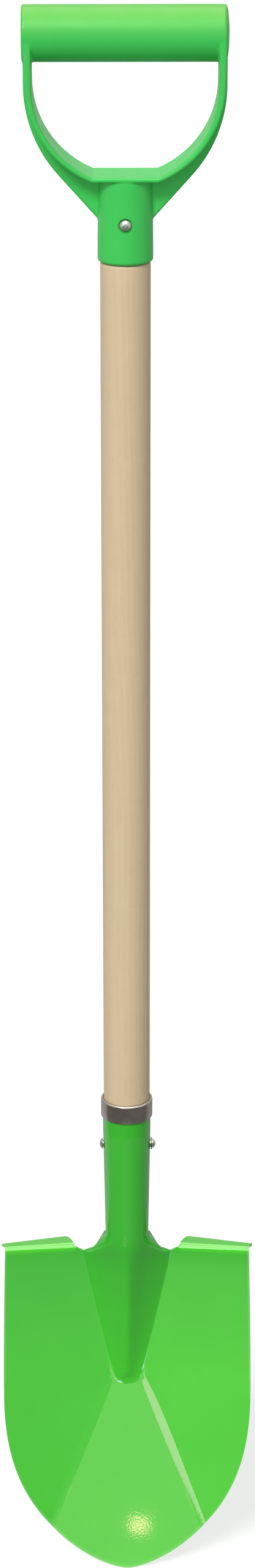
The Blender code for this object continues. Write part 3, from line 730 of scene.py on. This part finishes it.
def make_blade():
    """The sheet's middle surface as one mesh of columns, made thick, then rounded at its rim and
    drilled."""
    inner = 26
    outer = 30
    rows = 56
    shape = bmesh.new()
    rim = shape.verts.layers.float.new("rim")
    painted_highlight = shape.verts.layers.float.new("painted_highlight")
    # Either edge of the fold's flat has a column close to each side of it.
    near, far = 0.9, 1.1
    stations = [(i / inner, -far) for i in range(inner + 1)]
    stations += [(1.0, -near), (1.0, 0.0), (1.0, near)]
    stations += [(1.0 + i / outer, far) for i in range(outer + 1)]
    crease = inner + 2
    last = len(stations) - 1
    blade = {}
    for j in range(-last, last + 1):
        share, offset = stations[abs(j)]
        foot = fold_foot(offset)
        side = -1.0 if j < 0 else 1.0
        column = []
        for level in range(2 * rows + 1):
            x, y, z = blade_point(share, offset, foot, level / rows)
            column.append(shape.verts.new((side * x, y, z)))
        blade[j] = column
    for j in range(-last, last):
        fill_strip(shape, blade[j], blade[j + 1])
    neck = {}
    for j in range(-crease, crease + 1):
        side = -1.0 if j < 0 else 1.0
        foot = blade[j][-1]
        column = neck_column(abs(foot.co.x) / NOTCH_HALF, neck_rows=30, tube_rows=10)
        neck[j] = [foot] + [shape.verts.new((side * x, y, z)) for x, y, z in column]
    for j in range(-crease, crease):
        fill_strip(shape, neck[j], neck[j + 1])
    for side in (-1, 1):
        tread = []
        for j in range(crease, last + 1):
            top = blade[side * j][-1]
            share = (abs(top.co.x) - NOTCH_HALF) / (BLADE_HALF_TOP - NOTCH_HALF)
            column = tread_column(share, bend_rows=8, flat_rows=8)
            tread.append([top] + [shape.verts.new((side * x, y, z)) for x, y, z in column])
        if side < 0:
            tread.reverse()
        for left, right in zip(tread, tread[1:]):
            fill_strip(shape, left, right)
    # The sheet's boundary carries the pale rim mark; the nose's arc and the right crease carry the
    # painted highlight.
    for vertex in shape.verts:
        vertex[rim] = 1.0 if vertex.is_boundary else 0.0
        vertex[painted_highlight] = nose_painted_highlight(vertex.co.x, vertex.co.z)
    for vertex in blade[crease]:
        vertex[painted_highlight] = crease_painted_highlight(frog_rise(vertex.co.z))
    # Thin faces at the belly, which the rim's bevel would fold over.
    crowded = [vertex for vertex in shape.verts
               if abs(vertex.co.x) > 0.85 * BLADE_HALF_BELLY and vertex.co.z < FROG_NOSE_HEIGHT]
    bmesh.ops.remove_doubles(shape, verts=crowded, dist=0.0003)
    item = from_shape("blade_sheet", shape)
    solid = item.modifiers.new("Sheet", "SOLIDIFY")
    solid.thickness = SHEET
    solid.offset = 0.0
    solid.use_even_offset = True
    bevel = item.modifiers.new("Rim", "BEVEL")
    bevel.width = SHEET_EDGE_ROUND
    bevel.segments = 2
    bevel.limit_method = "ANGLE"
    bevel.angle_limit = math.radians(60.0)
    freeze(item, math.radians(60.0))
    boolean(item, rivet_drill(SOCKET_MOUTH_RADIUS + SHEET), "DIFFERENCE")
    even = item.modifiers.new("Even", "WEIGHTED_NORMAL")
    even.keep_sharp = True
    bake(item)
    finish_piece(item, paint_material(), "blade_paint", "blade")


# Ferrule, shaft and fasteners.

def make_ferrule():
    top = SOCKET_MOUTH + FERRULE_OVERHANG
    bottom = top - FERRULE_HEIGHT
    inner = SOCKET_MOUTH_RADIUS + GAP
    outer = inner + FERRULE_WALL
    lip = SHAFT_FOOT_RADIUS + GAP
    roof = SOCKET_MOUTH + GAP * 2
    nib, edge, hem = FERRULE_LIP_ROUND, FERRULE_SHOULDER_ROUND, FERRULE_HEM_ROUND
    profile = arc((lip + nib, top - nib), nib, math.pi, math.pi / 2, 4)
    profile += arc((outer - edge, top - edge), edge, math.pi / 2, 0.0, 10)
    profile += arc((outer - hem, bottom + hem), hem, 0.0, -math.pi / 2, 6)
    profile += [(inner, bottom), (inner, roof), (lip, roof + FERRULE_WALL)]
    item = freeze(turned("ferrule_ring", profile, 128, closed=True))
    steel = steel_material("ferrule_steel", FERRULE_STEELS, 0.12, 0.20, (60.0, 60.0, 2600.0))
    finish_piece(item, steel, "ferrule_steel", "socket_ferrule")


def make_shaft():
    shoulder = GRIP_MOUTH - GAP
    tenon = GRIP_BORE_RADIUS - TENON_GAP
    tip = GRIP_MOUTH + GRIP_TENON
    foot = SHAFT_FOOT - SOCKET_TENON
    mouth = SOCKET_MOUTH_RADIUS - SHEET - TENON_GAP
    foot_radius = socket_radius(foot) - SHEET - TENON_GAP
    edge = SHAFT_SHOULDER_ROUND
    profile = [(0.0, tip), (tenon - TENON_CHAMFER, tip), (tenon, tip - TENON_CHAMFER)]
    profile.append((tenon, shoulder))
    profile += arc((SHAFT_TOP_RADIUS - edge, shoulder - edge), edge, math.pi / 2, 0.0, 8)
    steps = 40
    for i in range(1, steps + 1):
        t = i / steps
        radius = lerp(SHAFT_TOP_RADIUS, SHAFT_FOOT_RADIUS, t)
        profile.append((radius, lerp(shoulder - edge, SHAFT_FOOT, t)))
    profile += [(mouth, SHAFT_FOOT), (mouth, SOCKET_MOUTH - SOCKET_STRAIGHT)]
    profile += [(foot_radius, foot + TENON_CHAMFER), (foot_radius - TENON_CHAMFER, foot)]
    profile.append((0.0, foot))
    item = freeze(turned("ash_shaft", profile, 96))
    boolean(item, rivet_drill(SHAFT_TOP_RADIUS + 0.0005), "DIFFERENCE")
    finish_piece(item, wood_material(), "shaft_wood", "handle_shaft")


def dome(radius, height, base):
    """A low round head, (radius, height) points from its crown down to its rim."""
    steps = 9
    ball = (radius * radius + height * height) / (2.0 * height)
    points = []
    for i in range(steps + 1):
        r = radius * math.sin(i / steps * math.pi / 2)
        points.append((r, base + height - ball + math.sqrt(ball * ball - r * r)))
    return points


def make_screw():
    head_y = SCREW_SEAT_DEPTH - GRIP_NECK_RADIUS - GAP
    profile = dome(SCREW_HEAD_RADIUS, SCREW_HEAD_HEIGHT, 0.0)
    profile += [(SCREW_SHANK_RADIUS + 0.0001, -0.0002), (SCREW_SHANK_RADIUS, -SCREW_PLAIN)]
    for i in range(1, 20):
        radius = SCREW_SHANK_RADIUS - (SCREW_THREAD_DEPTH if i % 2 else 0.0)
        profile.append((radius, -SCREW_PLAIN - SCREW_THREAD_STEP * i))
    profile.append((0.0, -SCREW_SHANK))
    item = turned("cross_screw", profile, 48)
    item.location = (0.0, head_y, SCREW_LEVEL)
    item.rotation_euler = (math.pi / 2, 0.0, 0.0)
    freeze(item)
    for turn in (0.0, math.pi / 2):
        shape = bmesh.new()
        bmesh.ops.create_cube(shape, size=1.0)
        for vertex in shape.verts:
            narrow = SCREW_SLOT_NARROWING if vertex.co.z < 0 else 1.0
            vertex.co = vertex.co * Vector(SCREW_SLOT)
            vertex.co.x *= narrow
        slot = from_shape("slot", shape)
        slot.location = (0.0, head_y - SCREW_HEAD_HEIGHT, SCREW_LEVEL)
        slot.rotation_euler = (math.pi / 2, turn, 0.0)
        boolean(item, slot, "DIFFERENCE")
    steel = steel_material("screw_zinc", SCREW_STEELS, 0.36, 0.50, (900.0, 900.0, 900.0))
    finish_piece(item, steel, "screw_steel", "grip_screw")


def make_rivet():
    seat = socket_radius(RIVET_LEVEL) + GAP
    set_seat = seat + WASHER_THICKNESS + GAP
    set_head = dome(RIVET_SET_RADIUS, RIVET_SET_HEIGHT, set_seat)
    profile = dome(RIVET_HEAD_RADIUS, RIVET_HEAD_HEIGHT, seat)
    profile += [(RIVET_SHANK_RADIUS, seat), (RIVET_SHANK_RADIUS, -set_seat)]
    profile += [(radius, -height) for radius, height in reversed(set_head)]
    item = turned("through_rivet", profile, 48)
    item.location = (0.0, 0.0, RIVET_LEVEL)
    item.rotation_euler = (0.0, -math.pi / 2, 0.0)
    freeze(item)
    steel = steel_material("rivet_steel", RIVET_STEELS, 0.24, 0.36, (500.0, 500.0, 500.0))
    finish_piece(item, steel, "rivet_steel", "socket_rivet")
    edge = 0.00015
    inner, outer, top = RIVET_HOLE_RADIUS, WASHER_RADIUS, WASHER_THICKNESS
    ring = [(outer - edge, top), (outer, top - edge), (outer, edge), (outer - edge, 0.0)]
    ring += [(inner, 0.0), (inner, top)]
    washer = turned("rivet_collar", ring, 48, closed=True)
    washer.location = (seat, 0.0, RIVET_LEVEL)
    washer.rotation_euler = (0.0, math.pi / 2, 0.0)
    freeze(washer)
    dull = steel_material("collar_steel", COLLAR_STEELS, 0.34, 0.46, (500.0, 500.0, 500.0))
    finish_piece(washer, dull, "rivet_steel", "rivet_washer")


# D grip.

def opening_path():
    bend = OPENING_BEND_ANGLE
    bend_end_x = OPENING_HALF - OPENING_BEND * (1.0 - math.cos(bend))
    line_rise = (bend_end_x - SADDLE_HALF) / math.tan(bend)
    bend_top = GRIP_SADDLE + line_rise + OPENING_BEND * math.sin(bend)
    path = [(OPENING_HALF, GRIP_BAR)]
    path += arc((OPENING_HALF - OPENING_BEND, bend_top), OPENING_BEND, 0.0, -bend, 28)
    path.append((SADDLE_HALF, GRIP_SADDLE))
    return path


def offset_path(path, share):
    result = []
    last = len(path) - 1
    for i, point in enumerate(path):
        here = Vector(point)
        before = Vector(path[max(i - 1, 0)])
        after = Vector(path[i + 1]) if i < last else Vector((0.0, GRIP_SADDLE))
        first = (here - before).normalized() if i > 0 else Vector((0.0, -1.0))
        second = (after - here).normalized()
        outward = Vector((-(first + second).y, (first + second).x)).normalized()
        spread = outward.dot(Vector((-second.y, second.x)))
        along = (GRIP_BAR - point[1]) / (GRIP_BAR - GRIP_SADDLE)
        thickness = lerp(STRAP_ARM_THICKNESS, STRAP_SADDLE_THICKNESS, along) * share / spread
        result.append(tuple(here + outward * thickness))
    return result


def web_path():
    outer = OPENING_HALF + STRAP_ARM_THICKNESS + WEB_PROUD
    turn = math.pi / 2 - WEB_SLOPE
    foot = (GRIP_NECK_RADIUS - WEB_THICKNESS / 4, GRIP_MOUTH + WEB_FOOT_HEIGHT)
    bend_end_x = outer - WEB_BEND * (1.0 - math.cos(turn))
    bend_end_z = foot[1] + (bend_end_x - foot[0]) * math.tan(WEB_SLOPE)
    centre = (outer - WEB_BEND, bend_end_z + WEB_BEND * math.sin(turn))
    path = [(outer, GRIP_BAR)]
    path += arc(centre, WEB_BEND, 0.0, -turn, 24)
    path.append(foot)
    return path


def mirrored(path):
    return [(-x, z) for x, z in reversed(path)]


def band(inside, outside):
    return inside + mirrored(inside) + mirrored(outside)[::-1] + outside[::-1]


def grip_cuts():
    """The shaft's bore, the plug's seat, the screw's counterbore and its hole."""
    outside = 0.0100
    bore = (0.0, 0.0, GRIP_MOUTH - outside), (0.0, 0.0, GRIP_MOUTH + GRIP_BORE_DEPTH)
    seat = (BAR_END - PLUG_BORE_DEPTH, 0.0, GRIP_BAR), (BAR_HALF + outside, 0.0, GRIP_BAR)
    floor = SCREW_SEAT_DEPTH - GRIP_NECK_RADIUS
    counterbore = (0.0, -0.0180, SCREW_LEVEL), (0.0, floor, SCREW_LEVEL)
    hole = (0.0, -0.0130, SCREW_LEVEL), (0.0, -0.0080, SCREW_LEVEL)
    return (rod("bore", GRIP_BORE_RADIUS, *bore, 96), rod("seat", PLUG_RADIUS + GAP, *seat, 96),
            rod("screw_seat", SCREW_SEAT_RADIUS, *counterbore, 64),
            rod("screw_hole", SCREW_HOLE_RADIUS, *hole, 32))


def make_plug(plastic):
    """The bar's shallow domed plug, with a skirt that runs into the bar."""
    base = BAR_END - PLUG_SEAT_DEPTH + GAP
    steps = 14
    profile = []
    for i in range(steps):
        t = i / steps
        profile.append((PLUG_RADIUS * t, base + lerp(PLUG_CROWN, PLUG_EDGE, t * t)))
    rim = (PLUG_RADIUS - PLUG_ROUND, base + PLUG_EDGE - PLUG_ROUND)
    profile += arc(rim, PLUG_ROUND, math.pi / 2, 0.0, 4)
    profile += [(PLUG_RADIUS, base), (PLUG_SKIRT_RADIUS, base)]
    profile += [(PLUG_SKIRT_RADIUS, base - PLUG_SKIRT), (0.0, base - PLUG_SKIRT)]
    plug = turned("bar_plug", profile, 96)
    plug.location = (0.0, 0.0, GRIP_BAR)
    plug.rotation_euler = (0.0, math.pi / 2, 0.0)
    freeze(plug)
    finish_piece(plug, plastic, "grip_plastic", "grip_end_plug")


def make_grip():
    """Neck, strap, web and bar joined, melted together with small fillets, then drilled."""
    under = GRIP_SADDLE - STRAP_SADDLE_THICKNESS
    rim = (GRIP_MOUTH_RADIUS - GRIP_RIM_ROUND, GRIP_MOUTH + GRIP_RIM_ROUND)
    sink = GRIP_NECK_SINK
    profile = [(0.0, under + sink), (GRIP_NECK_RADIUS - sink, under + sink)]
    profile.append((GRIP_NECK_RADIUS, under - sink / 2))
    profile += arc(rim, GRIP_RIM_ROUND, 0.0, -math.pi / 2, 6)
    profile.append((0.0, GRIP_MOUTH))
    item = freeze(turned("d_grip", profile, 96))
    opening = opening_path()
    strap_outline = band(opening, offset_path(opening, 1.0))
    strap = plate("strap", strap_outline, STRAP_HALF_DEPTH * 2, STRAP_EDGE_ROUND)
    web = plate("web", band(web_path(), offset_path(opening, 0.5)), WEB_THICKNESS, WEB_EDGE_ROUND)
    right, left = BAR_RIGHT_ROUND, BAR_LEFT_ROUND
    bar_profile = [(0.0, BAR_END)]
    bar_profile += arc((BAR_RADIUS - right, BAR_END - right), right, math.pi / 2, 0.0, 6)
    bar_profile += arc((BAR_RADIUS - left, left - BAR_HALF), left, 0.0, -math.pi / 2, 4)
    bar_profile.append((0.0, -BAR_HALF))
    bar = turned("bar", bar_profile, 96)
    bar.location = (0.0, 0.0, GRIP_BAR)
    bar.rotation_euler = (0.0, math.pi / 2, 0.0)
    freeze(bar)
    for part in (strap, web, bar):
        boolean(item, part, "UNION")
    remesh = item.modifiers.new("Melt", "REMESH")
    remesh.mode = "VOXEL"
    remesh.voxel_size = 0.0005
    smooth = item.modifiers.new("Fillets", "SMOOTH")
    smooth.factor = 0.5
    smooth.iterations = 5
    freeze(item, math.pi)
    for cut in grip_cuts():
        boolean(item, cut, "DIFFERENCE")
    item.data.set_sharp_from_angle(angle=math.radians(50.0))
    plastic = plastic_material("grip_plastic")
    finish_piece(item, plastic, "grip_plastic", "d_handle")
    make_plug(plastic)


# Studio.

def studio_plane(name, width, depth):
    shape = bmesh.new()
    bmesh.ops.create_grid(shape, x_segments=1, y_segments=1, size=0.5)
    bmesh.ops.scale(shape, vec=(width, depth, 1.0), verts=shape.verts)
    item = from_shape(name, shape)
    return item


def make_floor():
    floor = studio_plane("floor", 60.0, 60.0)
    floor.location = (0.0, 0.0, -FLOOR_DROP)
    floor.visible_glossy = False
    material = bpy.data.materials.new("pale_floor")
    material.use_nodes = True
    tree = material.node_tree
    shader = tree.nodes["Principled BSDF"]
    shader.inputs["Base Color"].default_value = (FLOOR_TONE, FLOOR_TONE, FLOOR_TONE, 1.0)
    shader.inputs["Roughness"].default_value = 0.9
    shader.inputs["Specular IOR Level"].default_value = 0.0
    shader.inputs["Emission Color"].default_value = (*WHITE, 1.0)
    seen = tree.nodes.new("ShaderNodeLightPath")
    lift = tree.nodes.new("ShaderNodeMath")
    lift.operation = "MULTIPLY"
    lift.inputs[1].default_value = FLOOR_LIFT
    tree.links.new(seen.outputs["Is Camera Ray"], lift.inputs[0])
    tree.links.new(lift.outputs["Value"], shader.inputs["Emission Strength"])
    floor.data.materials.append(material)


def make_world():
    """White for camera rays. Reflections see a bright room, brightest overhead, that is dim low in
    front and low behind. Diffuse light comes mostly from the front, and some from low behind. Each
    ramp runs over a part of the direction: across is X, depth is Y and height is Z."""
    world = bpy.data.worlds.new("studio")
    scene.world = world
    world.use_nodes = True
    tree = world.node_tree
    tree.nodes.clear()

    def node(kind, **settings):
        made = tree.nodes.new(kind)
        for key, value in settings.items():
            setattr(made, key, value)
        return made

    def ramp(source, low, high, out_low=0.0, out_high=1.0):
        made = node("ShaderNodeMapRange", interpolation_type="SMOOTHSTEP")
        for key, number in zip(RAMP_KEYS, (low, high, out_low, out_high)):
            made.inputs[key].default_value = number
        tree.links.new(source, made.inputs["Value"])
        return made.outputs["Result"]

    def pick(factor, low, high):
        made = node("ShaderNodeMix", data_type="FLOAT")
        for key, value in (("Factor", factor), ("A", low), ("B", high)):
            if isinstance(value, float):
                made.inputs[key].default_value = value
            else:
                tree.links.new(value, made.inputs[key])
        return made.outputs["Result"]

    def add(a, b):
        made = node("ShaderNodeMath", operation="ADD")
        tree.links.new(a, made.inputs[0])
        tree.links.new(b, made.inputs[1])
        return made.outputs["Value"]

    direction = node("ShaderNodeSeparateXYZ")
    place = node("ShaderNodeTexCoord").outputs["Generated"]
    tree.links.new(place, direction.inputs["Vector"])
    across, depth, height = direction.outputs
    front = ramp(height, -0.32, -0.12, ROOM_LEVEL, ROOM_LEVEL + ROOM_AHEAD)
    front = pick(ramp(height, -0.50, -0.38), ROOM_BELOW, front)
    edges = pick(ramp(across, -0.70, -0.20), 0.85, pick(ramp(across, 0.20, 0.70), 0.35, 0.60))
    back = pick(ramp(height, -0.25, -0.05), edges, 1.0)
    level = pick(ramp(depth, 0.0, 0.25), front, back)
    mirrored_room = add(level, ramp(height, 0.10, 0.80, 0.0, ROOM_ABOVE))
    turned_left = node("ShaderNodeVectorMath", operation="DOT_PRODUCT")
    turned_left.inputs[1].default_value = (0.20, 0.98, 0.0)
    tree.links.new(place, turned_left.inputs[0])
    ahead = ramp(turned_left.outputs["Value"], -0.90, 0.0, ROOM_SIDES + ROOM_FRONT, ROOM_SIDES)
    behind = pick(ramp(height, 0.10, 0.50), ramp(depth, 0.20, 0.80, 0.0, ROOM_BACK), 0.0)
    path = node("ShaderNodeLightPath")
    lit = pick(path.outputs["Is Glossy Ray"], add(ahead, behind), mirrored_room)
    strength = pick(path.outputs["Is Camera Ray"], lit, 1.0)
    background = node("ShaderNodeBackground")
    background.inputs["Color"].default_value = (*WHITE, 1.0)
    tree.links.new(strength, background.inputs["Strength"])
    out = node("ShaderNodeOutputWorld")
    tree.links.new(background.outputs["Background"], out.inputs["Surface"])


def upright(left, right, bottom, top, y):
    """The corners of an upright rectangle that faces the object."""
    return [(left, y, bottom), (right, y, bottom), (right, y, top), (left, y, top)]


def reflection_card(name, corners, strength, fade, colour=WHITE):
    """A lit card that only reflections see, also below the floor. Its margin fades out."""
    shape = bmesh.new()
    glow = shape.verts.layers.float.new("glow")
    middle = sum((Vector(corner) for corner in corners), Vector()) / len(corners)
    inside = [shape.verts.new(middle.lerp(Vector(corner), 1.0 - fade)) for corner in corners]
    outside = [shape.verts.new(corner) for corner in corners]
    shape.faces.new(inside)
    for i in range(len(corners)):
        shape.faces.new((inside[i - 1], outside[i - 1], outside[i], inside[i]))
    for vertex in inside:
        vertex[glow] = 1.0
    glow_card(from_shape(name, shape), strength, colour)


def reflection_ring(name, radius, spread, bottom, top, strength):
    """A lit band round the shaft's axis, in front, that only reflections see."""
    shape = bmesh.new()
    glow = shape.verts.layers.float.new("glow")
    low = []
    high = []
    steps = 24
    for i in range(steps + 1):
        angle = lerp(-spread, spread, i / steps)
        x, y = radius * math.sin(angle), -radius * math.cos(angle)
        low.append(shape.verts.new((x, y, bottom)))
        high.append(shape.verts.new((x, y, top)))
        low[-1][glow] = high[-1][glow] = 0.0 if i in (0, steps) else 1.0
    fill_strip(shape, low, high)
    glow_card(from_shape(name, shape), strength, WHITE)


def glow_card(card, strength, colour):
    """Lights a card as far as its glow attribute says, and shows it to glossy rays alone."""
    for ray in ("camera", "diffuse", "shadow", "transmission"):
        setattr(card, "visible_" + ray, False)
    material = bpy.data.materials.new(card.name)
    material.use_nodes = True
    material.cycles.emission_sampling = "NONE"
    tree = material.node_tree
    tree.nodes.clear()
    shade = tree.nodes.new("ShaderNodeAttribute")
    shade.attribute_name = "glow"
    clear = tree.nodes.new("ShaderNodeBsdfTransparent")
    light = tree.nodes.new("ShaderNodeEmission")
    light.inputs["Color"].default_value = (*colour, 1.0)
    light.inputs["Strength"].default_value = strength
    mixed = tree.nodes.new("ShaderNodeMixShader")
    tree.links.new(shade.outputs["Fac"], mixed.inputs["Fac"])
    tree.links.new(clear.outputs["BSDF"], mixed.inputs[1])
    tree.links.new(light.outputs["Emission"], mixed.inputs[2])
    out = tree.nodes.new("ShaderNodeOutputMaterial")
    tree.links.new(mixed.outputs["Shader"], out.inputs["Surface"])
    card.data.materials.append(material)


def make_key():
    """One broad soft light from the upper left in front."""
    lamp = bpy.data.lights.new("key", "SUN")
    lamp.energy = KEY_LIGHT * math.pi
    lamp.angle = KEY_SPREAD
    key = bpy.data.objects.new("key", lamp)
    scene.collection.objects.link(key)
    out = math.cos(KEY_RISE)
    toward = Vector((-math.sin(KEY_SIDE) * out, -math.cos(KEY_SIDE) * out, math.sin(KEY_RISE)))
    key.rotation_euler = toward.to_track_quat("Z", "Y").to_euler()


def make_cards():
    """What the glossy parts mirror: a soft card for the lower panel, a strip for its right fold, a
    small warm lamp near the tip, a broad panel overhead, a card at the left for the right panel,
    and dim flags before the neck and the ferrule."""
    lower = upright(-0.105, 0.120, -0.72, -0.34, y=-1.62)
    fold = upright(-0.185, -0.108, -0.78, -0.40, y=-1.60)
    tip = upright(-0.001, 0.019, -0.2805, -0.2655, y=-0.81)
    above = [(-1.1, -2.7, 2.5), (0.9, -2.7, 2.5), (0.9, 1.6, 2.5), (-1.1, 1.6, 2.5)]
    left = upright(-0.30, -0.072, -0.42, -0.05, y=-0.83)
    neck = upright(-0.060, 0.056, 0.130, 0.245, y=-0.123)
    reflection_card("card", lower, 2.5, 0.30, (1.0, 1.0, 0.8))
    reflection_card("strip", fold, 8.3, 0.08, (1.0, 0.55, 0.78))
    reflection_card("lamp", tip, 28.0, 0.8, (1.0, 0.52, 0.42))
    reflection_card("overhead", above, 7.0, 0.2, (1.0, 0.88, 0.84))
    reflection_card("left_card", left, 1.9, 0.20, (0.75, 1.0, 0.6))
    reflection_card("neck_flag", neck, 0.62, 0.3)
    reflection_ring("ferrule_flag", 0.12, math.radians(100.0), 0.212, 0.300, 0.34)


def make_camera():
    """In front and looking down, as in the photograph."""
    data = bpy.data.cameras.new("camera")
    data.sensor_width = 36.0
    data.lens = PHOTO_FOCAL / PHOTO_HEIGHT * data.sensor_width
    camera = bpy.data.objects.new("camera", data)
    scene.collection.objects.link(camera)
    back = Vector((0.0, -math.cos(CAMERA_TILT), math.sin(CAMERA_TILT)))
    camera.location = Vector(CAMERA_AIM) + back * CAMERA_DISTANCE
    level = (-back).to_track_quat("-Z", "Y").to_matrix().to_4x4()
    camera.rotation_euler = (Matrix.Rotation(CAMERA_ROLL, 4, back) @ level).to_euler()
    scene.camera = camera


make_blade()
make_ferrule()
make_shaft()
make_screw()
make_rivet()
make_grip()
make_floor()
make_world()
make_key()
make_cards()
make_camera()
scene.view_settings.view_transform = "Standard"
